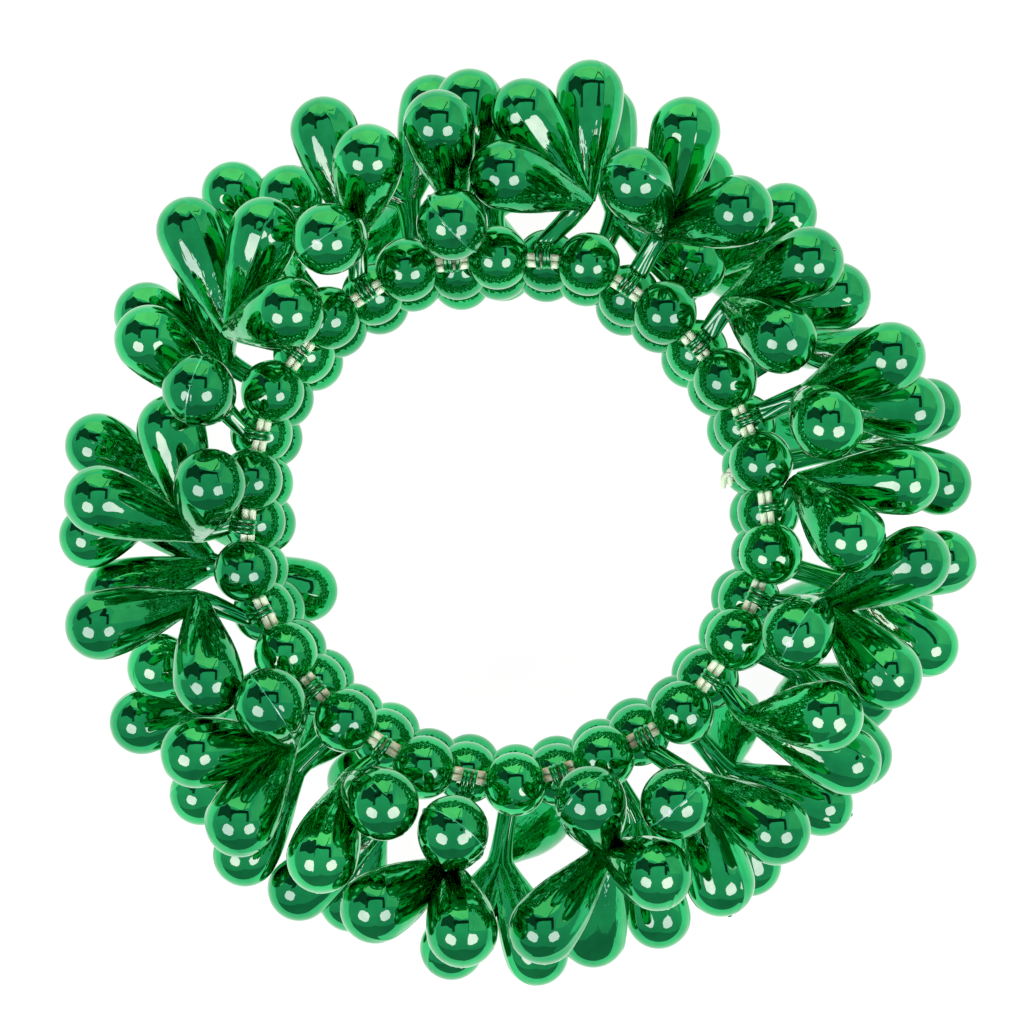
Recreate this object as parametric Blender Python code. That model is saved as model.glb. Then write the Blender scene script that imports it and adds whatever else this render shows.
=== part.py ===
"""Stretch bracelet of metallised plastic beads.

Four rows of eighteen round beads run round the wrist on doubled elastic. The beads of one zigzag column
(one from each row) sit against each other, and small links hold them as a column. Bunches of teardrop
beads hang from eyes threaded on the elastic: the upper bunches in the gaps of the top row, the lower
bunches in the gaps of the bottom row. +Z is the axis of the band, and the bunches rest on the floor at z = 0.
All dimensions below are millimetres and degrees.
"""

import math

import bmesh
import bpy
import numpy as np
from mathutils import Matrix, Vector

MM = 0.001

# Band
COLUMNS = 18
BAND_RADIUS = 28.9
FIRST_COLUMN = 11.9
ROW_PITCH = 5.15
ROW_SHIFT = 4.65
TOP_ROW_HEIGHT = 29.3
WOBBLE = (-3, -6, -6, 4, -5, 5, 6, 4, -6, 5, -4, -4, 2, 7, -4, 1, -2, 6)
WOBBLE_STEP = 0.08

# Round beads
BEAD_RADIUS = 3.5
BORE_RADIUS = 1.2
BEAD_SIDES = 7
BEAD_RINGS = 5
LINK_RADIUS = 0.9
LINK_FROM_CENTRE = 2.85

# Elastic
CORD_WIDTH = 1.4
CORD_HEIGHT = 0.7
CORD_BEND = 3.1
KNOT_ROW = 1
KNOT_COLUMN = 17
KNOT_RADIUS = 1.15
TAIL_LENGTH = 3.4

# Eyes and drops
EYE_INNER = (1.05, 0.72)
EYE_OUTER = (1.6, 1.24)
EYE_THICK = 1.5
STEM_RADIUS = 0.85
DROP_LENGTH = 11.75
DROP_PROFILE = ((0.0, 0.8), (5.0, 2.15), (9.2, 3.5), (12.3, 3.72), (14.6, 2.45))
DROP_SIDES = 7
DROP_END = 15.5
CLEARANCE = 0.42
FLOOR_DROP = 3.45

# One row for each upper bunch: stem length, stem sweep, stem rise, then (sweep, lift) of each of its drops.
# Sweep turns counter-clockwise from straight out, lift rises towards +Z.
UPPER = (
    (6.5, 0, 1.0, (0, 40), (-95, 70), (-30, 0)),
    (5.5, 10, 1.0, (-20, 45), (-40, 0), (-90, 55)),
    (6.5, 5, 1.0, (25, 30), (80, 65), (-45, 50)),
    (7.5, -40, 1.0, (-5, 0), (35, 20), (80, 40)),
    (5.5, -10, 1.0, (-10, 0), (10, 50), (-175, 75)),
    (6.0, -25, 1.0, (-15, 5), (-50, 55), (105, 75)),
    (7.5, 20, 1.0, (-30, 0), (-75, 20), (-135, 50)),
    (5.0, -30, 1.0, (-45, 85), (-15, 35)),
    (5.0, 20, 1.0, (-70, 5), (-110, 60), (-10, 30)),
    (7.0, -45, 1.0, (-15, 35), (75, 40)),
    (6.0, 25, 1.0, (-120, 65), (-40, 40), (20, 40)),
    (5.0, -15, 1.0, (20, 50), (105, 65)),
    (9.0, 0, 1.0, (30, 60), (-55, 45), (-175, 65)),
    (9.5, 10, 1.0, (175, 55), (-30, -30), (-65, 30), (60, 65)),
    (6.5, 25, 1.0, (-80, 75), (35, 35), (-10, 0)),
    (5.5, -15, 1.0, (40, 50), (10, 0)),
    (7.0, 20, 1.0, (55, 30), (-25, 40), (-120, 65)),
    (4.0, 35, 1.0, (-10, 25), (-65, 50)),
)
LOWER = (
    (10.0, 0, 0.5, (-40, 0), (35, -35), (-5, -65)),
    (8.0, 0, 0.5, (-15, 25), (-35, -60), (40, -15)),
    (8.5, 5, 0.5, (-100, 5), (35, 0), (-20, -45)),
    (7.0, 0, 0.0, (-5, -35), (-45, -30), (180, -70)),
    (10.0, -5, 0.5, (-25, 0), (10, -60), (45, -15), (120, -60)),
    (8.5, 0, 0.5, (-45, 50), (-5, 20), (0, -60)),
    (8.5, 0, 0.5, (-55, 45), (-5, 40), (0, -35)),
    (10.0, 5, 0.0, (-30, 35), (30, 0), (120, -65), (-60, -60)),
    (7.0, 0, -4.5, (-50, 0), (15, 15), (165, -15)),
    (8.5, 0, 0.5, (-30, 25), (-55, 40), (0, -60)),
    (9.5, -5, 0.0, (-35, 0), (15, 10), (180, -60)),
    (10.5, -10, 0.5, (-35, 0), (0, -30), (-120, -60)),
    (10.5, -5, 0.0, (-25, 0), (25, 0), (130, -60)),
    (9.0, 0, 0.5, (-20, 0), (-60, -20), (15, -60)),
    (10.0, 5, 0.5, (-20, -10), (40, 0), (0, -70), (130, -60)),
    (9.5, 0, 0.5, (-35, 10), (0, -40), (-50, -60)),
    (11.0, 0, 0.5, (-20, 0), (30, 0), (0, -45), (-120, -60)),
    (11.0, -5, 0.5, (-40, 0), (5, -15), (0, -65), (130, -60)),
)

GREEN = (0.035, 0.42, 0.085, 1.0)
CORD_COLOUR = (0.74, 0.76, 0.66, 1.0)


def axes(angle):
    a = math.radians(angle)
    return np.array([math.cos(a), math.sin(a), 0.0]), np.array([-math.sin(a), math.cos(a), 0.0])


def row_height(row):
    return TOP_ROW_HEIGHT - row * ROW_PITCH


def bead_centre(row, column):
    """Rows 1 and 3 stand half a bead along the column's own tangent from rows 0 and 2."""
    column %= COLUMNS
    out, along = axes(FIRST_COLUMN + column * 360 / COLUMNS)
    shift = math.degrees(ROW_SHIFT / BAND_RADIUS) if row % 2 else 0.0
    out, _ = axes(FIRST_COLUMN + column * 360 / COLUMNS + shift)
    return out * (BAND_RADIUS + WOBBLE[column] * WOBBLE_STEP) + np.array([0, 0, row_height(row)])


def bead_axis(row, column):
    way = bead_centre(row, column + 1) - bead_centre(row, column - 1)
    return way / np.linalg.norm(way)


def gap(row, column):
    """Middle of the elastic between this bead and the next of its row, and the elastic's direction there."""
    a = bead_centre(row, column) + CORD_BEND * bead_axis(row, column)
    b = bead_centre(row, column + 1) - CORD_BEND * bead_axis(row, column + 1)
    way = (b - a) / np.linalg.norm(b - a)
    return (a + b) / 2, way


def bunch_frame(row, column):
    """Eye centre, and the radial, tangential and axial directions of the bunch on this gap."""
    eye, way = gap(row, column)
    out = np.cross(way, [0.0, 0.0, 1.0])
    return eye, out / np.linalg.norm(out), way, np.array([0.0, 0.0, 1.0])


def heading(frame, sweep, lift):
    _, out, way, up = frame
    s, l = math.radians(sweep), math.radians(lift)
    return math.cos(l) * (math.cos(s) * out + math.sin(s) * way) + math.sin(l) * up


def bunches():
    """Name, frame, hub and drop headings of each bunch, before they settle against each other."""
    made = []
    for row, table, name in ((0, UPPER, "upper"), (3, LOWER, "lower")):
        for column, (length, sweep, rise, *drops) in enumerate(table):
            frame = bunch_frame(row, column)
            hub = frame[0] + heading(frame, sweep, 0) * length + np.array([0, 0, rise])
            made.append([f"{name}_bunch_{column + 1:02d}", frame, hub, [heading(frame, s, l) for s, l in drops]])
    return made


def drop_radius(s):
    along, radius = zip(*DROP_PROFILE)
    return float(np.interp(s, along, radius))


def settle(made, rounds=600):
    """Turns the drops about their hubs until each clears its neighbours, the beads, the stems and the floor."""
    marks = (3.2, 5.4, 7.6, 9.7, DROP_LENGTH)
    owner, hubs, ways = [], [], []
    for b, (_, _, hub, headings) in enumerate(made):
        for way in headings:
            owner.append(b)
            hubs.append(hub)
            ways.append(way)
    owner, hubs, ways = np.array(owner), np.array(hubs), np.array(ways)
    wanted = ways.copy()
    n, m = len(owner), len(marks)
    radius = np.tile([drop_radius(s) for s in marks], n)
    reach = np.tile(marks, n)
    drop = np.repeat(np.arange(n), m)
    bulb = np.tile([s > 8 for s in marks], n)
    same_drop = drop[:, None] == drop[None, :]
    same_bunch = owner[drop][:, None] == owner[drop][None, :]
    need = radius[:, None] + radius[None, :] + np.where(same_bunch, -0.35, CLEARANCE)
    need[same_drop] = 0
    need[same_bunch & ~(bulb[:, None] & bulb[None, :])] = 0
    fixed, fixed_r, fixed_owner = [], [], []
    for row in range(4):
        for column in range(COLUMNS):
            fixed.append(bead_centre(row, column))
            fixed_r.append(BEAD_RADIUS)
            fixed_owner.append(-1)
    for b, (_, frame, hub, _) in enumerate(made):
        for share in (0.0, 0.3, 0.6, 0.85, 1.0):
            fixed.append(frame[0] + share * (hub - frame[0]))
            fixed_r.append(max(EYE_OUTER) if share == 0 else 1.0)
            fixed_owner.append(b)
    fixed, fixed_r, fixed_owner = np.array(fixed), np.array(fixed_r), np.array(fixed_owner)
    need_fixed = radius[:, None] + fixed_r[None, :] + CLEARANCE
    need_fixed[owner[drop][:, None] == fixed_owner[None, :]] = 0
    worst = 0.0
    for turn in range(rounds):
        points = hubs[drop] + reach[:, None] * ways[drop]
        push = np.zeros((n, 3))
        apart = points[:, None, :] - points[None, :, :]
        far = np.linalg.norm(apart, axis=2)
        far[same_drop] = 1e9
        over = np.clip(need - far, 0, None)
        worst = float(over.max())
        force = (apart / far[..., None] * (over * 0.5)[..., None]).sum(axis=1)
        apart = points[:, None, :] - fixed[None, :, :]
        far = np.linalg.norm(apart, axis=2)
        over = np.clip(need_fixed - far, 0, None)
        worst = max(worst, float(over.max()))
        force += (apart / np.maximum(far, 1e-6)[..., None] * over[..., None]).sum(axis=1)
        low = np.clip(FLOOR_DROP * radius / radius.max() - points[:, 2], 0, None)
        worst = max(worst, float(low.max()))
        force[:, 2] += low
        np.add.at(push, drop, force / reach[:, None])
        pull = 0.02 * max(0.0, 1 - turn / (0.6 * rounds))
        ways = ways + 0.6 * push + pull * (wanted - ways)
        ways /= np.linalg.norm(ways, axis=1)[:, None]
    for b, bunch in enumerate(made):
        bunch[3] = list(ways[owner == b])
    return worst


def material(name, colour, metallic, roughness):
    made = bpy.data.materials.new(name)
    made.use_nodes = True
    shader = made.node_tree.nodes["Principled BSDF"]
    shader.inputs["Base Color"].default_value = colour
    shader.inputs["Metallic"].default_value = metallic
    shader.inputs["Roughness"].default_value = roughness
    made.diffuse_color = colour
    return made


def lathe(profile, sides, closed, start, axis, spin=0.0):
    """A solid turned about the line from start along axis. profile holds (distance along, radius) pairs.

    A closed profile makes a ring. An open one gets a flat base and ends in a point at its last pair."""
    axis = Vector(axis).normalized()
    turn = Vector((0, 0, 1)).rotation_difference(axis).to_matrix()
    mesh = bmesh.new()
    rings = []
    for along, radius in profile:
        if radius == 0:
            rings.append([mesh.verts.new(Vector(start) + axis * along)])
            continue
        rings.append(
            [
                mesh.verts.new(
                    Vector(start)
                    + turn
                    @ Vector((radius * math.cos(spin + 2 * math.pi * i / sides), radius * math.sin(spin + 2 * math.pi * i / sides), along))
                )
                for i in range(sides)
            ]
        )
    pairs = list(zip(rings, rings[1:])) + ([(rings[-1], rings[0])] if closed else [])
    for low, high in pairs:
        for i in range(sides):
            j = (i + 1) % sides
            if len(high) == 1:
                mesh.faces.new((low[i], low[j], high[0]))
            else:
                mesh.faces.new((low[i], low[j], high[j], high[i]))
    if not closed:
        mesh.faces.new(list(reversed(rings[0])))
        if len(rings[-1]) > 1:
            mesh.faces.new(rings[-1])
    bmesh.ops.recalc_face_normals(mesh, faces=mesh.faces)
    return mesh


def bead(centre, axis):
    """A round bead with its bore along axis."""
    first = math.asin(BORE_RADIUS / BEAD_RADIUS)
    profile = []
    for i in range(BEAD_RINGS):
        a = first + (math.pi - 2 * first) * i / (BEAD_RINGS - 1)
        profile.append((-BEAD_RADIUS * math.cos(a), BEAD_RADIUS * math.sin(a)))
    return lathe(profile, BEAD_SIDES, True, centre, axis)


def rod(start, end, radius, sides=5):
    length = float(np.linalg.norm(np.array(end) - np.array(start)))
    return lathe(((0, radius), (length, radius)), sides, False, start, np.array(end) - np.array(start))


def drop(hub, way):
    """A teardrop from its neck at the hub to its round end."""
    return lathe(DROP_PROFILE + ((DROP_END, 0.0),), DROP_SIDES, False, hub, way)


def eye_ring(frame):
    """An oval ring round the doubled elastic."""
    eye, out, way, up = frame
    mesh = bmesh.new()
    rings = []
    for side, (a, b) in ((-1, EYE_INNER), (-1, EYE_OUTER), (1, EYE_OUTER), (1, EYE_INNER)):
        rings.append(
            [
                mesh.verts.new(
                    Vector(eye + out * a * math.cos(math.pi * (i + 0.5) / 3) / math.cos(math.pi / 6) + up * b * math.sin(math.pi * (i + 0.5) / 3) / math.cos(math.pi / 6) + way * side * EYE_THICK / 2)
                )
                for i in range(6)
            ]
        )
    for low, high in zip(rings, rings[1:] + rings[:1]):
        for i in range(6):
            j = (i + 1) % 6
            mesh.faces.new((low[i], low[j], high[j], high[i]))
    bmesh.ops.recalc_face_normals(mesh, faces=mesh.faces)
    return mesh


def cord_loop(row):
    """The doubled elastic of one row: straight through each bead, straight again across each gap."""
    mesh = bmesh.new()
    rings = []
    for column in range(COLUMNS):
        centre, way = bead_centre(row, column), bead_axis(row, column)
        out = np.cross(way, [0.0, 0.0, 1.0])
        for end in (-CORD_BEND, CORD_BEND):
            middle = centre + end * way
            rings.append(
                [
                    mesh.verts.new(Vector(middle + out * w * CORD_WIDTH / 2 + np.array([0, 0, h * CORD_HEIGHT / 2])))
                    for w, h in ((-1, -1), (1, -1), (1, 1), (-1, 1))
                ]
            )
    for low, high in zip(rings, rings[1:] + rings[:1]):
        for i in range(4):
            j = (i + 1) % 4
            mesh.faces.new((low[i], low[j], high[j], high[i]))
    bmesh.ops.recalc_face_normals(mesh, faces=mesh.faces)
    return mesh


def knot_pieces():
    """The overhand knot of the elastic in one gap, and its cut tail, which points into the opening."""
    middle, way = gap(KNOT_ROW, KNOT_COLUMN)
    inward = -np.cross(way, [0.0, 0.0, 1.0])
    lump = bmesh.new()
    bmesh.ops.create_icosphere(lump, subdivisions=1, radius=1.0)
    bmesh.ops.scale(lump, vec=(KNOT_RADIUS, KNOT_RADIUS, 0.85 * KNOT_RADIUS), verts=lump.verts)
    bmesh.ops.translate(lump, vec=Vector(middle), verts=lump.verts)
    lean = inward + 0.25 * way + np.array([0, 0, 0.1])
    lean /= np.linalg.norm(lean)
    return [lump, rod(middle + 0.5 * lean, middle + (KNOT_RADIUS + TAIL_LENGTH) * lean, 0.6)]


def node(name, meshes, origin, colour, metallic, roughness, parent=None):
    """One named solid, the union of its shapes, with its origin at the given point."""
    whole = None
    for i, shape in enumerate(meshes):
        bmesh.ops.translate(shape, vec=-Vector(origin), verts=shape.verts)
        bmesh.ops.scale(shape, vec=(MM, MM, MM), verts=shape.verts)
        data = bpy.data.meshes.new(name if i == 0 else f"{name}_shape")
        shape.to_mesh(data)
        shape.free()
        made = bpy.data.objects.new(name if i == 0 else f"{name}_shape", data)
        bpy.context.scene.collection.objects.link(made)
        if whole is None:
            whole = made
            continue
        union = whole.modifiers.new("union", "BOOLEAN")
        union.operation, union.solver, union.object = "UNION", "EXACT", made
        made.hide_render, made.display_type = True, "WIRE"
    if whole.modifiers:
        view = bpy.context.evaluated_depsgraph_get()
        joined = bpy.data.meshes.new_from_object(whole.evaluated_get(view))
        tools = [m.object for m in whole.modifiers]
        whole.modifiers.clear()
        old, whole.data = whole.data, joined
        bpy.data.meshes.remove(old)
        for tool in tools:
            data = tool.data
            bpy.data.objects.remove(tool)
            bpy.data.meshes.remove(data)
        whole.data.name = name
    whole.data.materials.clear()
    whole.data.materials.append(material(name + "_finish", colour, metallic, roughness))
    whole.data.shade_smooth()
    whole.data.set_sharp_from_angle(angle=math.radians(60))
    place = Vector(origin) * MM
    if parent is not None:
        whole.parent = parent
        place = place - Vector(parent["origin_mm"]) * MM
    whole.location = place
    whole["origin_mm"] = [float(c) for c in origin]
    return whole


def cut_at_floor(obj):
    """A drop that reaches the floor has a small flat on it at z = 0."""
    height = obj["origin_mm"][2] * MM
    if min(v.co.z for v in obj.data.vertices) + height >= 0:
        return
    mesh = bmesh.new()
    mesh.from_mesh(obj.data)
    bmesh.ops.bisect_plane(
        mesh, geom=mesh.verts[:] + mesh.edges[:] + mesh.faces[:], plane_co=(0, 0, -height), plane_no=(0, 0, 1), clear_inner=True
    )
    bmesh.ops.holes_fill(mesh, edges=[e for e in mesh.edges if len(e.link_faces) == 1])
    bmesh.ops.recalc_face_normals(mesh, faces=mesh.faces)
    mesh.to_mesh(obj.data)
    mesh.free()


def build():
    for old in list(bpy.data.objects):
        bpy.data.objects.remove(old)
    made = bunches()
    left = settle(made)
    columns = []
    for column in range(COLUMNS):
        centres = [bead_centre(row, column) for row in range(4)]
        shapes = [bead(c, bead_axis(row, column)) for row, c in enumerate(centres)]
        for a, b in zip(centres, centres[1:]):
            way = (b - a) / np.linalg.norm(b - a)
            shapes.append(rod(a + LINK_FROM_CENTRE * way, b - LINK_FROM_CENTRE * way, LINK_RADIUS))
        middle = sum(centres) / 4
        columns.append(node(f"bead_column_{column + 1:02d}", shapes, middle, GREEN, 1.0, 0.12))
    for i, (name, frame, hub, headings) in enumerate(made):
        shapes = [eye_ring(frame), rod(frame[0] + 1.28 * frame[1], hub, STEM_RADIUS)]
        shapes += [drop(hub, way) for way in headings]
        cut_at_floor(node(name, shapes, frame[0], GREEN, 1.0, 0.12, columns[i % COLUMNS]))
    for row in range(4):
        shapes = [cord_loop(row)] + (knot_pieces() if row == KNOT_ROW else [])
        node(f"elastic_loop_{row + 1}", shapes, (0, 0, row_height(row)), CORD_COLOUR, 0.0, 0.55)
    bpy.context.view_layer.update()
    corners = np.array([obj.matrix_world @ v.co for obj in bpy.data.objects for v in obj.data.vertices])
    middle = (corners.min(axis=0) + corners.max(axis=0)) / 2
    for obj in bpy.data.objects:
        if obj.parent is None:
            obj.location -= Vector((middle[0], middle[1], 0.0))
    bpy.context.view_layer.update()
    return made, left


LAYOUT, LEFT_OVER = build()
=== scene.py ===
import math

import bpy
import numpy as np
from mathutils import Matrix, Vector


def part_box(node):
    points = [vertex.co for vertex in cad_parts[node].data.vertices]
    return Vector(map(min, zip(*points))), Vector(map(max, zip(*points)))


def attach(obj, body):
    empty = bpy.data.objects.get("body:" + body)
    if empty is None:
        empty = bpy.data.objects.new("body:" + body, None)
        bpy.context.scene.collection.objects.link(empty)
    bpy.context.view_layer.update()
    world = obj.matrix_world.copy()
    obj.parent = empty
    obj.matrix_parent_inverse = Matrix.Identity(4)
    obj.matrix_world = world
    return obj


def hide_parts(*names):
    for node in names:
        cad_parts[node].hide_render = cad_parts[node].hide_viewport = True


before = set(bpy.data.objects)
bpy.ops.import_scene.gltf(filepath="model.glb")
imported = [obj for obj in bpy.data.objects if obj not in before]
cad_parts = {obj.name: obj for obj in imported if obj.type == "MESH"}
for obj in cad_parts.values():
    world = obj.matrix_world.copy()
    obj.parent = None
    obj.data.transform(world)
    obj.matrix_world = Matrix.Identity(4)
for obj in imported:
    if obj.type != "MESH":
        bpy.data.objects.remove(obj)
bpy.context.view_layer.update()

MM = 0.001

# ---------------------------------------------------------------- layout, in millimetres and degrees
COLUMNS = 18
BAND_RADIUS = 28.9
FIRST_COLUMN = 11.9
ROW_PITCH = 5.15
ROW_SHIFT = 4.65
TOP_ROW_HEIGHT = 29.3
WOBBLE = (-3, -6, -6, 4, -5, 5, 6, 4, -6, 5, -4, -4, 2, 7, -4, 1, -2, 6)
WOBBLE_STEP = 0.08
BEAD_RADIUS = 3.5
CORD_WIDTH = 1.4
CORD_BEND = 3.1
EYE_OUTER = (1.6, 1.24)
KNOT_ROW = 1
KNOT_COLUMN = 17
DROP_LENGTH = 11.75
DROP_PROFILE = ((0.0, 0.8), (5.0, 2.15), (9.2, 3.5), (12.3, 3.72), (14.6, 2.45))
CLEARANCE = 0.42
FLOOR_DROP = 3.45

UPPER = (
    (6.5, 0, 1.0, (0, 40), (-95, 70), (-30, 0)),
    (5.5, 10, 1.0, (-20, 45), (-40, 0), (-90, 55)),
    (6.5, 5, 1.0, (25, 30), (80, 65), (-45, 50)),
    (7.5, -40, 1.0, (-5, 0), (35, 20), (80, 40)),
    (5.5, -10, 1.0, (-10, 0), (10, 50), (-175, 75)),
    (6.0, -25, 1.0, (-15, 5), (-50, 55), (105, 75)),
    (7.5, 20, 1.0, (-30, 0), (-75, 20), (-135, 50)),
    (5.0, -30, 1.0, (-45, 85), (-15, 35)),
    (5.0, 20, 1.0, (-70, 5), (-110, 60), (-10, 30)),
    (7.0, -45, 1.0, (-15, 35), (75, 40)),
    (6.0, 25, 1.0, (-120, 65), (-40, 40), (20, 40)),
    (5.0, -15, 1.0, (20, 50), (105, 65)),
    (9.0, 0, 1.0, (30, 60), (-55, 45), (-175, 65)),
    (9.5, 10, 1.0, (175, 55), (-30, -30), (-65, 30), (60, 65)),
    (6.5, 25, 1.0, (-80, 75), (35, 35), (-10, 0)),
    (5.5, -15, 1.0, (40, 50), (10, 0)),
    (7.0, 20, 1.0, (55, 30), (-25, 40), (-120, 65)),
    (4.0, 35, 1.0, (-10, 25), (-65, 50)),
)
LOWER = (
    (10.0, 0, 0.5, (-40, 0), (35, -35), (-5, -65)),
    (8.0, 0, 0.5, (-15, 25), (-35, -60), (40, -15)),
    (8.5, 5, 0.5, (-100, 5), (35, 0), (-20, -45)),
    (7.0, 0, 0.0, (-5, -35), (-45, -30), (180, -70)),
    (10.0, -5, 0.5, (-25, 0), (10, -60), (45, -15), (120, -60)),
    (8.5, 0, 0.5, (-45, 50), (-5, 20), (0, -60)),
    (8.5, 0, 0.5, (-55, 45), (-5, 40), (0, -35)),
    (10.0, 5, 0.0, (-30, 35), (30, 0), (120, -65), (-60, -60)),
    (7.0, 0, -4.5, (-50, 0), (15, 15), (165, -15)),
    (8.5, 0, 0.5, (-30, 25), (-55, 40), (0, -60)),
    (9.5, -5, 0.0, (-35, 0), (15, 10), (180, -60)),
    (10.5, -10, 0.5, (-35, 0), (0, -30), (-120, -60)),
    (10.5, -5, 0.0, (-25, 0), (25, 0), (130, -60)),
    (9.0, 0, 0.5, (-20, 0), (-60, -20), (15, -60)),
    (10.0, 5, 0.5, (-20, -10), (40, 0), (0, -70), (130, -60)),
    (9.5, 0, 0.5, (-35, 10), (0, -40), (-50, -60)),
    (11.0, 0, 0.5, (-20, 0), (30, 0), (0, -45), (-120, -60)),
    (11.0, -5, 0.5, (-40, 0), (5, -15), (0, -65), (130, -60)),
)


def axes(angle):
    a = math.radians(angle)
    return np.array([math.cos(a), math.sin(a), 0.0]), np.array([-math.sin(a), math.cos(a), 0.0])


def row_height(row):
    return TOP_ROW_HEIGHT - row * ROW_PITCH


def bead_centre(row, column):
    column %= COLUMNS
    shift = math.degrees(ROW_SHIFT / BAND_RADIUS) if row % 2 else 0.0
    out, _ = axes(FIRST_COLUMN + column * 360 / COLUMNS + shift)
    return out * (BAND_RADIUS + WOBBLE[column] * WOBBLE_STEP) + np.array([0, 0, row_height(row)])


def bead_axis(row, column):
    way = bead_centre(row, column + 1) - bead_centre(row, column - 1)
    return way / np.linalg.norm(way)


def gap(row, column):
    a = bead_centre(row, column) + CORD_BEND * bead_axis(row, column)
    b = bead_centre(row, column + 1) - CORD_BEND * bead_axis(row, column + 1)
    way = (b - a) / np.linalg.norm(b - a)
    return (a + b) / 2, way


def bunch_frame(row, column):
    eye, way = gap(row, column)
    out = np.cross(way, [0.0, 0.0, 1.0])
    return eye, out / np.linalg.norm(out), way, np.array([0.0, 0.0, 1.0])


def heading(at, sweep, lift):
    _, out, way, up = at
    s, l = math.radians(sweep), math.radians(lift)
    return math.cos(l) * (math.cos(s) * out + math.sin(s) * way) + math.sin(l) * up


def bunches():
    made = []
    for row, table, name in ((0, UPPER, "upper"), (3, LOWER, "lower")):
        for column, (length, sweep, rise, *drops) in enumerate(table):
            at = bunch_frame(row, column)
            hub = at[0] + heading(at, sweep, 0) * length + np.array([0, 0, rise])
            made.append([f"{name}_bunch_{column + 1:02d}", at, hub, [heading(at, s, l) for s, l in drops]])
    return made


def drop_radius(s):
    along, radius = zip(*DROP_PROFILE)
    return float(np.interp(s, along, radius))


def settle(made, rounds=600):
    marks = (3.2, 5.4, 7.6, 9.7, DROP_LENGTH)
    owner, hubs, ways = [], [], []
    for b, (_, _, hub, headings) in enumerate(made):
        for way in headings:
            owner.append(b)
            hubs.append(hub)
            ways.append(way)
    owner, hubs, ways = np.array(owner), np.array(hubs), np.array(ways)
    wanted = ways.copy()
    n, m = len(owner), len(marks)
    radius = np.tile([drop_radius(s) for s in marks], n)
    reach = np.tile(marks, n)
    drop = np.repeat(np.arange(n), m)
    bulb = np.tile([s > 8 for s in marks], n)
    same_drop = drop[:, None] == drop[None, :]
    same_bunch = owner[drop][:, None] == owner[drop][None, :]
    need = radius[:, None] + radius[None, :] + np.where(same_bunch, -0.35, CLEARANCE)
    need[same_drop] = 0
    need[same_bunch & ~(bulb[:, None] & bulb[None, :])] = 0
    fixed, fixed_r, fixed_owner = [], [], []
    for row in range(4):
        for column in range(COLUMNS):
            fixed.append(bead_centre(row, column))
            fixed_r.append(BEAD_RADIUS)
            fixed_owner.append(-1)
    for b, (_, at, hub, _) in enumerate(made):
        for share in (0.0, 0.3, 0.6, 0.85, 1.0):
            fixed.append(at[0] + share * (hub - at[0]))
            fixed_r.append(max(EYE_OUTER) if share == 0 else 1.0)
            fixed_owner.append(b)
    fixed, fixed_r, fixed_owner = np.array(fixed), np.array(fixed_r), np.array(fixed_owner)
    need_fixed = radius[:, None] + fixed_r[None, :] + CLEARANCE
    need_fixed[owner[drop][:, None] == fixed_owner[None, :]] = 0
    for turn in range(rounds):
        points = hubs[drop] + reach[:, None] * ways[drop]
        push = np.zeros((n, 3))
        apart = points[:, None, :] - points[None, :, :]
        far = np.linalg.norm(apart, axis=2)
        far[same_drop] = 1e9
        over = np.clip(need - far, 0, None)
        force = (apart / far[..., None] * (over * 0.5)[..., None]).sum(axis=1)
        apart = points[:, None, :] - fixed[None, :, :]
        far = np.linalg.norm(apart, axis=2)
        over = np.clip(need_fixed - far, 0, None)
        force += (apart / np.maximum(far, 1e-6)[..., None] * over[..., None]).sum(axis=1)
        low = np.clip(FLOOR_DROP * radius / radius.max() - points[:, 2], 0, None)
        force[:, 2] += low
        np.add.at(push, drop, force / reach[:, None])
        pull = 0.02 * max(0.0, 1 - turn / (0.6 * rounds))
        ways = ways + 0.6 * push + pull * (wanted - ways)
        ways /= np.linalg.norm(ways, axis=1)[:, None]
    for b, bunch in enumerate(made):
        bunch[3] = list(ways[owner == b])


def unit(v):
    v = np.asarray(v, float)
    return v / np.linalg.norm(v)


MADE = bunches()
settle(MADE)

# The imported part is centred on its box, so this moves the layout onto it.
_low, _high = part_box("elastic_loop_1")
_ring = []
for _c in range(COLUMNS):
    _w = bead_axis(0, _c)
    _o = np.cross(_w, [0.0, 0.0, 1.0])
    for _e in (-CORD_BEND, CORD_BEND):
        for _s in (-1, 1):
            _ring.append(bead_centre(0, _c) + _e * _w + _o * _s * CORD_WIDTH / 2)
_ring = np.array(_ring)
SHIFT = (np.array(_low) + np.array(_high)) / 2 / MM - (_ring.min(0) + _ring.max(0)) / 2
SHIFT[2] = 0.0


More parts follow.
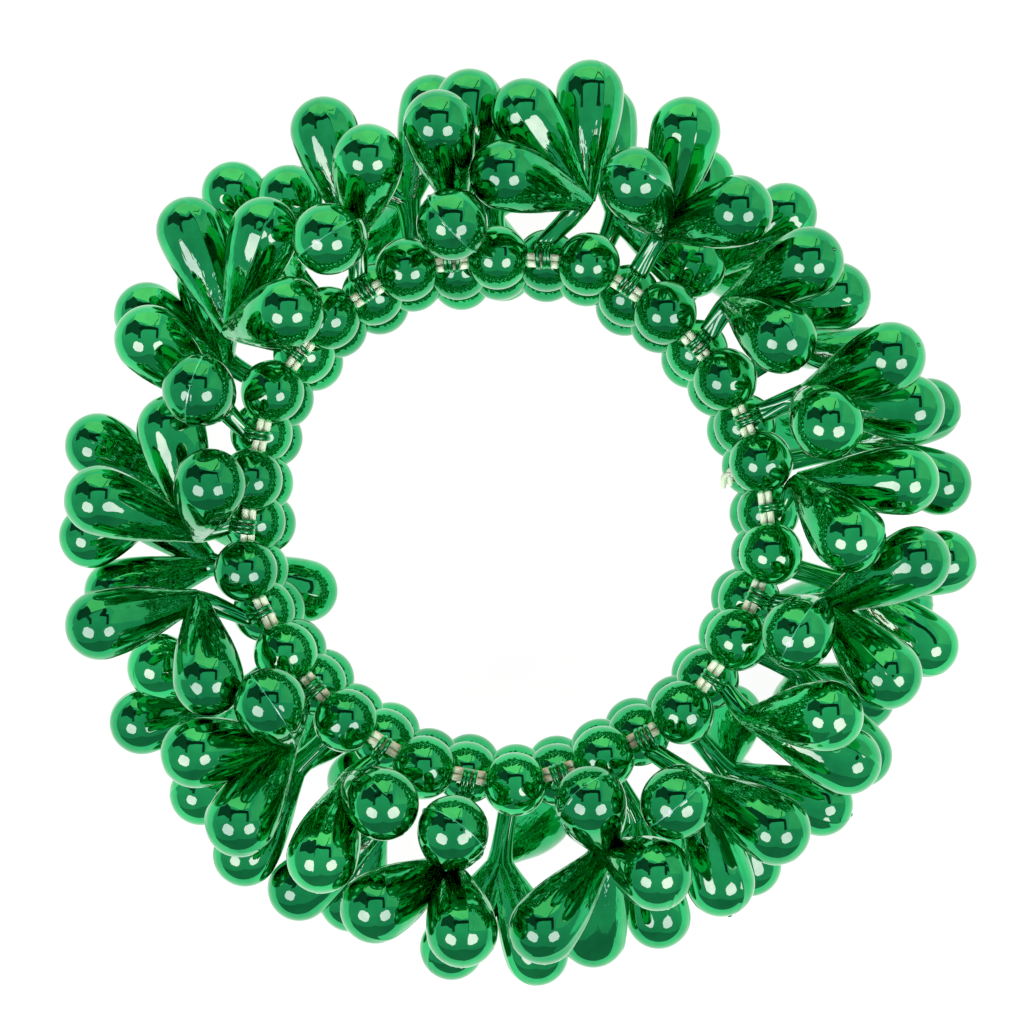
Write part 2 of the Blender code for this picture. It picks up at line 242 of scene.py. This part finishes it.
# ---------------------------------------------------------------- shapes
class Shape:
    """Vertices and faces gathered for one piece, with the own-frame position and a tone of each vertex."""

    def __init__(self):
        self.points, self.faces, self.own, self.tone, self.line, self.count = [], [], [], [], [], 0

    def grid(self, points, own, tone, around=True, start=None, end=None, line=None):
        """Rings of points joined into a tube. start and end are the (point, own position) of closing poles."""
        rings, sides, _ = points.shape
        base = self.count
        self.points.append(points.reshape(-1, 3))
        self.own.append(own.reshape(-1, 3))
        self.tone.append(np.full(rings * sides, tone))
        self.line.append(np.zeros(rings * sides) if line is None else np.tile(line, rings))
        self.count += rings * sides
        for r in range(rings - 1):
            for i in range(sides if around else sides - 1):
                j = (i + 1) % sides
                a = base + r * sides
                self.faces.append((a + i, a + j, a + sides + j, a + sides + i))
        for pole, ring, flip in ((start, 0, True), (end, rings - 1, False)):
            if pole is None:
                continue
            self.points.append(np.array([pole[0]]))
            self.own.append(np.array([pole[1]]))
            self.tone.append(np.array([tone]))
            self.line.append(np.array([0.0 if line is None else max(line)]))
            top, a = self.count, base + ring * sides
            self.count += 1
            for i in range(sides):
                j = (i + 1) % sides
                self.faces.append((top, a + j, a + i) if flip else (a + i, a + j, top))

    def loop(self, points, own, tone):
        """Rings of points joined into a closed torus."""
        rings, sides, _ = points.shape
        base = self.count
        self.points.append(points.reshape(-1, 3))
        self.own.append(own.reshape(-1, 3))
        self.tone.append(np.full(rings * sides, tone))
        self.line.append(np.zeros(rings * sides))
        self.count += rings * sides
        for r in range(rings):
            q = (r + 1) % rings
            for i in range(sides):
                j = (i + 1) % sides
                self.faces.append((base + r * sides + i, base + r * sides + j, base + q * sides + j, base + q * sides + i))

    def piece(self, name, material, body, nodes=()):
        points = (np.vstack(self.points) + SHIFT) * MM
        points[:, 2] = np.maximum(points[:, 2], 0.0)
        data = bpy.data.meshes.new(name)
        data.from_pydata(points.tolist(), [], self.faces)
        own = data.attributes.new("own", "FLOAT_VECTOR", "POINT")
        own.data.foreach_set("vector", np.vstack(self.own).astype(np.float32).ravel())
        tone = data.attributes.new("tone", "FLOAT", "POINT")
        tone.data.foreach_set("value", np.concatenate(self.tone).astype(np.float32))
        line = data.attributes.new("line", "FLOAT", "POINT")
        line.data.foreach_set("value", np.concatenate(self.line).astype(np.float32))
        data.materials.append(material)
        data.shade_smooth()
        obj = bpy.data.objects.new(name, data)
        bpy.context.scene.collection.objects.link(obj)
        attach(obj, body)
        if nodes:
            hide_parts(*nodes)
        return obj


def basis(axis, spin=0.0, hint=None):
    """Two unit vectors across an axis."""
    axis = unit(axis)
    hint = np.array([0.0, 0.0, 1.0]) if hint is None else np.asarray(hint, float)
    if abs(axis @ hint) > 0.97:
        hint = np.array([1.0, 0.0, 0.0])
    x = unit(np.cross(axis, hint))
    y = np.cross(axis, x)
    c, s = math.cos(spin), math.sin(spin)
    return x * c + y * s, y * c - x * s


def turned(shape, start, axis, profile, sides, tone, spin=0.0, seam=0.0, seam_width=0.1, caps=(True, True), offset=(0, 0, 0), hint=None, painted_glint=0.0):
    """A body of revolution with an optional thin moulding ridge on two opposite sides."""
    axis = unit(axis)
    x, y = basis(axis, spin, hint)
    points, own, line = [], [], None
    for along, radius in profile:
        if seam:
            edge = min(seam_width / max(radius, 1e-3), 0.25)
            half = np.linspace(edge, math.pi - edge, sides // 2 - 1)
            angles = np.concatenate([[0.0], half, [math.pi], half + math.pi])
            rise = np.zeros(len(angles))
            rise[0] = rise[len(half) + 1] = seam * min(1.0, radius / 0.5)
        else:
            angles = np.linspace(0, 2 * math.pi, sides, endpoint=False)
            rise = np.zeros(sides)
        r = radius + rise
        local = np.stack([r * np.cos(angles), r * np.sin(angles), np.full(len(angles), along)], 1)
        own.append(local + np.array(offset))
        points.append(start + local[:, :1] * x + local[:, 1:2] * y + along * axis)
    ends = [None, None]
    for i, along in enumerate((profile[0][0], profile[-1][0])):
        if caps[i]:
            step = 0.0
            ends[i] = (start + (along + step) * axis, np.array([0, 0, along]) + np.array(offset))
    # the ridge vertices carry this value in the line attribute; the drop material paints a paler glint along them
    if painted_glint:
        line = np.zeros(len(angles))
        line[0] = line[len(half) + 1] = painted_glint
    shape.grid(np.array(points), np.array(own), tone, True, ends[0], ends[1], line)


DROP_WAIST = 1.12
BULB = 3.75


def drop_profile(rings=26, cap=13):
    """Neck to round end: (distance along, radius)."""
    out = []
    for i in range(rings):
        t = i / rings
        g = 0.38 * math.sin(math.pi / 2 * t) ** 2 + 0.62 * math.sin(math.pi / 2 * t)
        out.append((t * DROP_LENGTH, DROP_WAIST + (BULB - DROP_WAIST) * g))
    for i in range(cap):
        a = math.pi / 2 * i / cap
        out.append((DROP_LENGTH + BULB * math.sin(a), BULB * math.cos(a)))
    return out


PROFILE = drop_profile()
chance = np.random.default_rng(7)


# Which way the parting line runs over the ends of the drops that face up, in degrees about +Z.
SEAMS = {
    ("upper", 5, 2): -50, ("upper", 6, 2): 33, ("upper", 8, 0): 75, ("upper", 14, 0): 42, ("upper", 11, 0): -55,
    ("upper", 18, 1): 35, ("upper", 13, 2): -36, ("upper", 17, 2): 60, ("upper", 3, 1): -20, ("upper", 15, 0): 40,
}


def drop(shape, hub, way, spin, tone, seed, nub, seam):
    if seam is not None:
        run = np.array([math.cos(math.radians(seam)), math.sin(math.radians(seam)), 0.0])
        run = unit(run - way * (run @ way))
        x, y = basis(way)
        spin = math.atan2(run @ y, run @ x)
    # a value of 1.0 paints the glint along the parting line of the drops that face up; 0.1 stays below the mask and
    # paints none
    turned(shape, hub, way, PROFILE, 44, tone, spin, seam=0.06 if seam is None else 0.15, seam_width=0.13, caps=(False, True), offset=(0, 0, 40.0 * seed), painted_glint=0.1 if seam is None else 1.0)
    if nub:
        turned(
            shape, hub + way * (DROP_LENGTH + BULB - 0.05), way, [(0, 0.28), (0.16, 0.26), (0.22, 0.2)], 12, tone, caps=(False, True), offset=(0, 0, 40.0 * seed + 15)
        )


def wire(shape, points, radii, sides, tone, seed=0.0, caps=(True, True)):
    """A tube through points with its own radius at each."""
    points = np.array(points, float)
    ways = np.gradient(points, axis=0)
    rings, own = [], []
    x = None
    run = 0.0
    for i, (p, w, r) in enumerate(zip(points, ways, radii)):
        w = unit(w)
        if x is None:
            x, _ = basis(w)
        x = unit(x - w * (x @ w))
        y = np.cross(w, x)
        a = np.linspace(0, 2 * math.pi, sides, endpoint=False)
        if i:
            run += float(np.linalg.norm(points[i] - points[i - 1]))
        rings.append(p + r * (np.cos(a)[:, None] * x + np.sin(a)[:, None] * y))
        own.append(np.stack([r * np.cos(a), r * np.sin(a), np.full(sides, run + 40.0 * seed)], 1))
    start = (points[0], own[0].mean(0)) if caps[0] else None
    end = (points[-1], own[-1].mean(0)) if caps[1] else None
    shape.grid(np.array(rings), np.array(own), tone, True, start, end)


def eyelet(shape, centre, out, way, up, tone, tilt, seed):
    """A thin moulded ring round the elastic."""
    major, minor, steps, sides = (1.22, 1.14), 0.27, 28, 10
    lean_way = unit(way + tilt * up)
    lean_up = unit(np.cross(out, lean_way))
    rings, own = [], []
    for i in range(steps):
        a = 2 * math.pi * i / steps
        middle = centre + major[0] * math.cos(a) * out + major[1] * math.sin(a) * lean_up
        radial = unit(math.cos(a) * out + math.sin(a) * lean_up)
        b = np.linspace(0, 2 * math.pi, sides, endpoint=False)
        rings.append(middle + minor * (np.cos(b)[:, None] * radial + np.sin(b)[:, None] * lean_way))
        own.append(np.stack([minor * np.cos(b), minor * np.sin(b), np.full(sides, 1.2 * a + 40.0 * seed + 20)], 1))
    shape.loop(np.array(rings), np.array(own), tone)


def bezier(a, b, c, d, n):
    t = np.linspace(0, 1, n)[:, None]
    return (1 - t) ** 3 * a + 3 * (1 - t) ** 2 * t * b + 3 * (1 - t) * t**2 * c + t**3 * d


# ---------------------------------------------------------------- materials
def nodes_of(name):
    made = bpy.data.materials.new(name)
    made.use_nodes = True
    tree = made.node_tree
    return made, tree, tree.nodes["Principled BSDF"]


def link(tree, a, b):
    tree.links.new(a, b)


def node(tree, kind, **values):
    made = tree.nodes.new(kind)
    for key, value in values.items():
        if key in made.inputs.keys():
            made.inputs[key].default_value = value
        else:
            setattr(made, key, value)
    return made


def metallised(name, streaks, waves, wave_size):
    """Green lacquer over a vacuum-metallised mirror."""
    made, tree, shader = nodes_of(name)
    shader.inputs["Metallic"].default_value = 1.0
    shader.inputs["Coat Weight"].default_value = 0.07
    shader.inputs["Coat Roughness"].default_value = 0.02
    shader.inputs["Coat IOR"].default_value = 1.5
    own = node(tree, "ShaderNodeAttribute", attribute_name="own")
    tone = node(tree, "ShaderNodeAttribute", attribute_name="tone")
    # lacquer depth: slow blotches and a difference from one bead to the next
    blotch = node(tree, "ShaderNodeTexNoise", Scale=0.35, Detail=3.0, Roughness=0.6)
    link(tree, own.outputs["Vector"], blotch.inputs["Vector"])
    add = node(tree, "ShaderNodeMath", operation="ADD")
    link(tree, blotch.outputs["Fac"], add.inputs[0])
    link(tree, tone.outputs["Fac"], add.inputs[1])
    ramp = node(tree, "ShaderNodeValToRGB")
    ramp.color_ramp.elements[0].position = 0.3
    ramp.color_ramp.elements[0].color = (0.013, 0.38, 0.122, 1)
    ramp.color_ramp.elements[1].position = 0.75
    ramp.color_ramp.elements[1].color = (0.024, 0.55, 0.168, 1)
    link(tree, add.outputs[0], ramp.inputs["Fac"])
    # the parting line gets a paler colour, a painted glint, and is made rougher
    line = node(tree, "ShaderNodeAttribute", attribute_name="line")
    glint_mask = node(tree, "ShaderNodeMapRange")
    glint_mask.inputs["From Min"].default_value = 0.45
    glint_mask.inputs["From Max"].default_value = 0.85
    link(tree, line.outputs["Fac"], glint_mask.inputs["Value"])
    glint_colour = node(tree, "ShaderNodeMix", data_type="RGBA")
    # painted glint colour along the parting line
    glint_colour.inputs[7].default_value = (0.06, 0.85, 0.45, 1)
    link(tree, glint_mask.outputs["Result"], glint_colour.inputs[0])
    link(tree, ramp.outputs["Color"], glint_colour.inputs[6])
    link(tree, glint_colour.outputs[2], shader.inputs["Base Color"])
    # dust specks and rubbed spots change the gloss
    specks = node(tree, "ShaderNodeTexNoise", Scale=3.2, Detail=6.0, Roughness=0.7)
    link(tree, own.outputs["Vector"], specks.inputs["Vector"])
    gloss = node(tree, "ShaderNodeMapRange")
    gloss.inputs["From Min"].default_value = 0.35
    gloss.inputs["From Max"].default_value = 0.8
    gloss.inputs["To Min"].default_value = 0.02
    gloss.inputs["To Max"].default_value = 0.07
    link(tree, specks.outputs["Fac"], gloss.inputs["Value"])
    dull = node(tree, "ShaderNodeMath", operation="MULTIPLY_ADD")
    dull.inputs[1].default_value = 0.4
    link(tree, glint_mask.outputs["Result"], dull.inputs[0])
    link(tree, gloss.outputs["Result"], dull.inputs[2])
    link(tree, dull.outputs[0], shader.inputs["Roughness"])
    # long streaks down the neck, slow sink waves over the rest
    stretch = node(tree, "ShaderNodeMapping")
    stretch.inputs["Scale"].default_value = (1.0, 1.0, 0.16)
    link(tree, own.outputs["Vector"], stretch.inputs["Vector"])
    lines = node(tree, "ShaderNodeTexNoise", Scale=1.5, Detail=2.0, Roughness=0.5)
    link(tree, stretch.outputs["Vector"], lines.inputs["Vector"])
    sink = node(tree, "ShaderNodeTexNoise", Scale=wave_size, Detail=1.5, Roughness=0.4)
    link(tree, own.outputs["Vector"], sink.inputs["Vector"])
    apart = node(tree, "ShaderNodeSeparateXYZ")
    link(tree, own.outputs["Vector"], apart.inputs["Vector"])
    along = node(tree, "ShaderNodeMath", operation="FLOORED_MODULO")
    along.inputs[1].default_value = 40.0
    link(tree, apart.outputs["Z"], along.inputs[0])
    neck = node(tree, "ShaderNodeMapRange")
    neck.inputs["From Min"].default_value = 4.5
    neck.inputs["From Max"].default_value = 10.5
    neck.inputs["To Min"].default_value = 1.0
    neck.inputs["To Max"].default_value = 0.02
    link(tree, along.outputs[0], neck.inputs["Value"])
    drawn = node(tree, "ShaderNodeMath", operation="MULTIPLY")
    link(tree, lines.outputs["Fac"], drawn.inputs[0])
    link(tree, neck.outputs["Result"], drawn.inputs[1])
    first = node(tree, "ShaderNodeBump", Strength=streaks, Distance=0.0005)
    link(tree, drawn.outputs[0], first.inputs["Height"])
    second = node(tree, "ShaderNodeBump", Strength=waves, Distance=0.001)
    link(tree, sink.outputs["Fac"], second.inputs["Height"])
    link(tree, first.outputs["Normal"], second.inputs["Normal"])
    grain = node(tree, "ShaderNodeTexNoise", Scale=9.0, Detail=2.0)
    link(tree, own.outputs["Vector"], grain.inputs["Vector"])
    third = node(tree, "ShaderNodeBump", Strength=0.006, Distance=0.0001)
    link(tree, grain.outputs["Fac"], third.inputs["Height"])
    link(tree, second.outputs["Normal"], third.inputs["Normal"])
    link(tree, third.outputs["Normal"], shader.inputs["Normal"])
    return made


def stretch_cord(name):
    """Off-white elastic: fine lengthwise strands under a slightly clear skin."""
    made, tree, shader = nodes_of(name)
    shader.inputs["Roughness"].default_value = 0.42
    shader.inputs["Specular IOR Level"].default_value = 0.0
    shader.inputs["Subsurface Weight"].default_value = 0.35
    shader.inputs["Subsurface Radius"].default_value = (0.0006, 0.0007, 0.0005)
    shader.inputs["Subsurface Scale"].default_value = 1.0
    own = node(tree, "ShaderNodeAttribute", attribute_name="own")
    stretch = node(tree, "ShaderNodeMapping")
    stretch.inputs["Scale"].default_value = (1.0, 1.0, 0.12)
    link(tree, own.outputs["Vector"], stretch.inputs["Vector"])
    lines = node(tree, "ShaderNodeTexNoise", Scale=6.0, Detail=3.0)
    link(tree, stretch.outputs["Vector"], lines.inputs["Vector"])
    ramp = node(tree, "ShaderNodeValToRGB")
    ramp.color_ramp.elements[0].position = 0.3
    ramp.color_ramp.elements[0].color = (0.50, 0.62, 0.44, 1)
    ramp.color_ramp.elements[1].position = 0.65
    ramp.color_ramp.elements[1].color = (0.74, 0.86, 0.66, 1)
    link(tree, lines.outputs["Fac"], ramp.inputs["Fac"])
    link(tree, ramp.outputs["Color"], shader.inputs["Base Color"])
    bump = node(tree, "ShaderNodeBump", Strength=0.4, Distance=0.0001)
    link(tree, lines.outputs["Fac"], bump.inputs["Height"])
    link(tree, bump.outputs["Normal"], shader.inputs["Normal"])
    return made


DROP_GREEN = metallised("green_metallised_drop", streaks=0.30, waves=0.05, wave_size=0.28)
BEAD_GREEN = metallised("green_metallised_bead", streaks=0.0, waves=0.07, wave_size=0.36)
CORD = stretch_cord("off_white_elastic")

# ---------------------------------------------------------------- the bracelet
# Round beads, one piece for each zigzag column.
BORE = 1.02
for column in range(COLUMNS):
    shape = Shape()
    for row in range(4):
        centre, way = bead_centre(row, column), bead_axis(row, column)
        first = math.asin(BORE / BEAD_RADIUS)
        rim = []
        for i in range(26):
            a = first + (math.pi - 2 * first) * i / 25
            rim.append((-BEAD_RADIUS * math.cos(a), BEAD_RADIUS * math.sin(a)))
        half = BEAD_RADIUS * math.cos(first)
        edge = [(-half + 0.12, BORE - 0.10), (-half + 0.03, BORE - 0.03)]
        bore = [(half - 0.03, BORE - 0.03), (half - 0.12, BORE - 0.10), (0.0, BORE - 0.12), (-half + 0.12, BORE - 0.10)]
        turned(
            shape, centre, way, edge + rim + bore, 40, 0.10 * chance.standard_normal(), spin=float(chance.uniform(0, 6.28)),
            caps=(False, False), offset=(0, 0, 40.0 * (row + 4 * column)),
        )
    shape.piece(f"round_beads_{column + 1:02d}", BEAD_GREEN, f"column_{column + 1:02d}", (f"bead_column_{column + 1:02d}",))

# Bunches: each drop has its own neck and its own thin eye round the elastic.
NUBS = {("upper", 15, 2), ("upper", 1, 0), ("upper", 14, 0), ("upper", 8, 0), ("lower", 15, 1), ("upper", 2, 0), ("lower", 9, 0)}
seed = 100
for name, at, hub, headings in MADE:
    eye, out, way, up = at
    kind, column = name.split("_")[0], int(name[-2:])
    shape = Shape()
    count = len(headings)
    order = np.argsort([h @ way for h in headings])
    for slot, d in enumerate(order):
        h = headings[d]
        seed += 1
        tone = 0.10 * float(chance.standard_normal())
        spin = float(chance.uniform(0, math.pi))
        drop(shape, hub, h, spin, tone, seed, (kind, column, int(d)) in NUBS, SEAMS.get((kind, column, int(d))))
        place = (slot - (count - 1) / 2) * (0.58 if count < 4 else 0.45)
        centre = eye + place * way
        eyelet(shape, centre, out, way, up, tone, float(chance.uniform(-0.18, 0.18)), seed)
        start = centre + 1.35 * out
        stop = hub + 1.3 * h
        neck = bezier(start, start + 0.35 * (hub - start), hub - 0.6 * h, stop, 12)
        radii = np.concatenate([np.linspace(0.55, 1.05, 7), np.linspace(1.12, 1.32, 5)])
        wire(shape, neck, radii, 12, tone, seed + 0.5)
    shape.piece(name.replace("bunch", "drops"), DROP_GREEN, name, (name,))

# Elastic: two round strands side by side in each row, a length of them on each column.
STRAND = 0.385
for column in range(COLUMNS):
    shape = Shape()
    for row in range(4):
        a, b = bead_centre(row, column), bead_centre(row, column + 1)
        way = unit(b - a)
        out = np.cross(way, [0.0, 0.0, 1.0])
        for side in (-1, 1):
            n = 16
            run = np.linspace(-0.6, np.linalg.norm(b - a) + 1.2, n)
            lift = 0.05 * math.sin(column * 2.1 + row + side)
            line = [a + way * t + out * side * (STRAND + 0.015) + np.array([0, 0, lift * math.sin(math.pi * i / (n - 1))]) for i, t in enumerate(run)]
            wire(shape, line, [STRAND] * n, 14, 0.0, 900 + column * 8 + row * 2 + side)
    nodes = tuple(f"elastic_loop_{r + 1}" for r in range(4)) if column == 0 else ()
    shape.piece(f"elastic_strands_{column + 1:02d}", CORD, f"column_{column + 1:02d}", nodes)

# Knot and tail, in one gap of the second row.
shape = Shape()
middle, way = gap(KNOT_ROW, KNOT_COLUMN)
inward = -np.cross(way, [0.0, 0.0, 1.0])
lift = np.array([0, 0, 1.0])
turns = []
for i in range(46):
    a = 2 * math.pi * i / 45 * 1.5
    turns.append(middle + way * (0.75 * (i / 45 - 0.5)) + inward * (0.72 * math.cos(a)) + lift * (0.66 * math.sin(a)))
wire(shape, turns, [0.36] * len(turns), 12, 0.0, 1200)
end = middle + 4.35 * inward - 0.75 * way
for k, (spread, extra) in enumerate(((0.39, 0.0), (-0.39, 0.3))):
    beside = np.array([spread, 0.0, 0.0])
    tip = end + beside - np.array([0.0, extra, 0.2])
    tail = bezier(middle + 0.2 * inward + 0.3 * spread * way, middle + 4.4 * inward + (0.5 + spread) * way, tip + np.array([-0.15, 2.4, 0.2]), tip, 20)
    wire(shape, tail, [0.37] * 17 + [0.35, 0.3, 0.2], 12, 0.0, 1210 + k)
shape.piece("elastic_knot", CORD, f"column_{KNOT_COLUMN + 1:02d}")

# ---------------------------------------------------------------- stage
CENTRE = np.array([SHIFT[0], SHIFT[1], TOP_ROW_HEIGHT]) * MM


def plane(name, size, place, target=None):
    data = bpy.data.meshes.new(name)
    w, h = size[0] / 2, size[1] / 2
    data.from_pydata([(-w, -h, 0), (w, -h, 0), (w, h, 0), (-w, h, 0)], [], [(0, 1, 2, 3)])
    obj = bpy.data.objects.new(name, data)
    bpy.context.scene.collection.objects.link(obj)
    obj.location = place
    if target is not None:
        obj.rotation_euler = (Vector(target) - Vector(place)).to_track_quat("Z", "Y").to_euler()
    return obj


floor = plane("floor", (3.0, 3.0), (0, 0, -0.0002))
paper, tree, shader = nodes_of("white_paper")
shader.inputs["Roughness"].default_value = 0.9
shader.inputs["Specular IOR Level"].default_value = 0.1
grain = node(tree, "ShaderNodeTexNoise", Scale=400.0, Detail=4.0)
shade = node(tree, "ShaderNodeValToRGB")
shade.color_ramp.elements[0].color = (0.10, 0.10, 0.10, 1)
shade.color_ramp.elements[1].color = (0.12, 0.12, 0.12, 1)
link(tree, grain.outputs["Fac"], shade.inputs["Fac"])
link(tree, shade.outputs["Color"], shader.inputs["Base Color"])
shader.inputs["Emission Color"].default_value = (1, 1, 1, 1)
shader.inputs["Emission Strength"].default_value = 0.95
floor.data.materials.append(paper)


def reflected(x, y, far):
    """Where a card stands for an upright sphere to show it at (x, y), as shares of the sphere's radius."""
    z = math.sqrt(1 - x * x - y * y)
    return CENTRE + far * np.array([2 * z * x, 2 * z * y, 2 * z * z - 1])


def card(name, outline, far, strength, tint=(1.0, 1.0, 1.0)):
    """A flat studio card: black when its strength is 0, a soft lit panel otherwise."""
    corners = [reflected(x, y, far) for x, y in outline]
    data = bpy.data.meshes.new(name)
    data.from_pydata([tuple(c) for c in corners], [], [tuple(range(len(corners)))])
    obj = bpy.data.objects.new(name, data)
    bpy.context.scene.collection.objects.link(obj)
    made, tree, shader = nodes_of(name)
    shader.inputs["Base Color"].default_value = (0.01, 0.01, 0.01, 1)
    shader.inputs["Roughness"].default_value = 0.9
    shader.inputs["Specular IOR Level"].default_value = 0.0
    shader.inputs["Emission Color"].default_value = (tint[0] / max(tint), tint[1] / max(tint), tint[2] / max(tint), 1)
    shader.inputs["Emission Strength"].default_value = strength * max(tint)
    data.materials.append(made)
    obj.visible_camera = False
    obj.visible_shadow = False
    return obj


# The camera stand and the crossbar of the light tent, dark against the tent roof.
card("stand_bar", [(-0.25, 0.215), (0.28, 0.245), (0.28, 0.325), (-0.25, 0.305)], 0.62, 0.03)
card("stand_leg_right", [(0.215, 0.02), (0.285, 0.02), (0.285, 0.29), (0.215, 0.29)], 0.62, 0.05)
card("stand_leg_left", [(-0.255, 0.02), (-0.185, 0.02), (-0.185, 0.29), (-0.255, 0.29)], 0.62, 0.08)
card("operator", [(-0.60, 0.12), (-0.42, 0.18), (-0.28, 0.10), (-0.16, 0.21), (-0.08, 0.35), (-0.24, 0.38), (-0.34, 0.53), (-0.46, 0.42), (-0.57, 0.36)], 0.64, 0.08)
card("tent_seam", [(0.13, 0.36), (0.15, 0.36), (0.245, 0.62), (0.225, 0.62)], 0.62, 0.0)
card("front_shade", [(-0.75, -0.55), (0.75, -0.55), (0.62, -0.36), (0.0, -0.42), (-0.62, -0.36)], 0.66, 0.26)
card("tent_roof", [(-0.42, 0.44), (-0.30, 0.74), (0.02, 0.80), (0.24, 0.74), (0.28, 0.42), (0.05, 0.36)], 0.68, 1.15, (2.4, 1.0, 0.75))
card("tent_side", [(0.32, 0.05), (0.36, 0.42), (0.46, 0.62), (0.66, 0.36), (0.66, 0.0)], 0.68, 0.72, (1.6, 1.0, 0.9))


def key(name, x, y, size, strength, far, tilt):
    """A softbox where an upright sphere shows it at (x, y): an area light, and the face that the beads mirror."""
    middle = reflected(x, y, far)
    toward = unit(np.array(CENTRE) - middle)
    right = unit(np.array([1.0, 0.0, 0.0]) - toward * toward[0])
    above = np.cross(toward, right)
    c, s = math.cos(math.radians(tilt)), math.sin(math.radians(tilt))
    right, above = right * c + above * s, above * c - right * s
    data = bpy.data.lights.new(name, "AREA")
    data.shape = "RECTANGLE"
    data.size, data.size_y = size
    data.energy = strength * math.pi * size[0] * size[1]
    obj = bpy.data.objects.new(name, data)
    bpy.context.scene.collection.objects.link(obj)
    obj.location = Vector(middle)
    obj.rotation_euler = Matrix((tuple(right), tuple(np.cross(-toward, right)), tuple(-toward))).transposed().to_euler()
    obj.visible_glossy = False
    face = bpy.data.meshes.new(name + "_face")
    w, h, round_off = FACE[0] / 2, FACE[1] / 2, 0.45
    outline = [(-1, -1 + round_off), (-1 + round_off, -1), (1 - round_off, -1), (1, -1 + round_off), (1, 1 - round_off), (1 - round_off, 1), (-1 + round_off, 1), (-1, 1 - round_off)]
    face.from_pydata([tuple(middle + toward * 0.004 + right * w * u + above * h * v) for u, v in outline], [], [tuple(range(8))])
    made, tree, shader = nodes_of(name + "_face")
    shader.inputs["Base Color"].default_value = (0, 0, 0, 1)
    shader.inputs["Specular IOR Level"].default_value = 0.0
    shader.inputs["Emission Color"].default_value = (1.0, 0.062, 0.155, 1)
    shader.inputs["Emission Strength"].default_value = 30.0
    face.materials.append(made)
    panel = bpy.data.objects.new(name + "_face", face)
    bpy.context.scene.collection.objects.link(panel)
    panel.visible_camera = False
    panel.visible_diffuse = False
    panel.visible_shadow = False


# The mirrored face of a softbox, tinted so that its image in the green lacquer is near white.
FACE = (0.245, 0.22)
key("key_left", -0.285, -0.20, (0.27, 0.25), 9.0, 0.43, 12)
key("key_right", 0.285, -0.20, (0.27, 0.25), 9.0, 0.43, -12)

world = bpy.data.worlds.new("studio")
world.use_nodes = True
world.node_tree.nodes["Background"].inputs["Color"].default_value = (1, 1, 1, 1)
sky = world.node_tree
place_in_sky = node(sky, "ShaderNodeTexCoord")
apart = node(sky, "ShaderNodeSeparateXYZ")
link(sky, place_in_sky.outputs["Generated"], apart.inputs["Vector"])
fade = node(sky, "ShaderNodeMapRange")
fade.inputs["From Min"].default_value = -0.7
fade.inputs["From Max"].default_value = 0.8
fade.inputs["To Min"].default_value = 0.46
fade.inputs["To Max"].default_value = 0.66
link(sky, apart.outputs["Y"], fade.inputs["Value"])
link(sky, fade.outputs["Result"], sky.nodes["Background"].inputs["Strength"])
bpy.context.scene.world = world

# ---------------------------------------------------------------- camera
FOOT = (4.0, -4.0)
HEIGHT = 235.0
SCALE = 0.11
camera_data = bpy.data.cameras.new("camera")
camera = bpy.data.objects.new("camera", camera_data)
bpy.context.scene.collection.objects.link(camera)
place = CENTRE + np.array([FOOT[0], FOOT[1], HEIGHT]) * MM
aim = CENTRE + np.array([(512 - 506) * SCALE, (516 - 512) * SCALE, 0.0]) * MM
camera.location = place
look = Vector(aim - place)
z = -look.normalized()
x = Vector((0, 1, 0)).cross(z).normalized()
y = z.cross(x)
camera.rotation_euler = Matrix((x, y, z)).transposed().to_euler()
camera_data.sensor_width = 36
camera_data.lens = 36 * look.length / (1024 * SCALE * MM)
camera_data.clip_start = 0.01
bpy.context.scene.camera = camera
bpy.context.scene.view_settings.view_transform = "Standard"
bpy.context.scene.view_settings.look = "None"
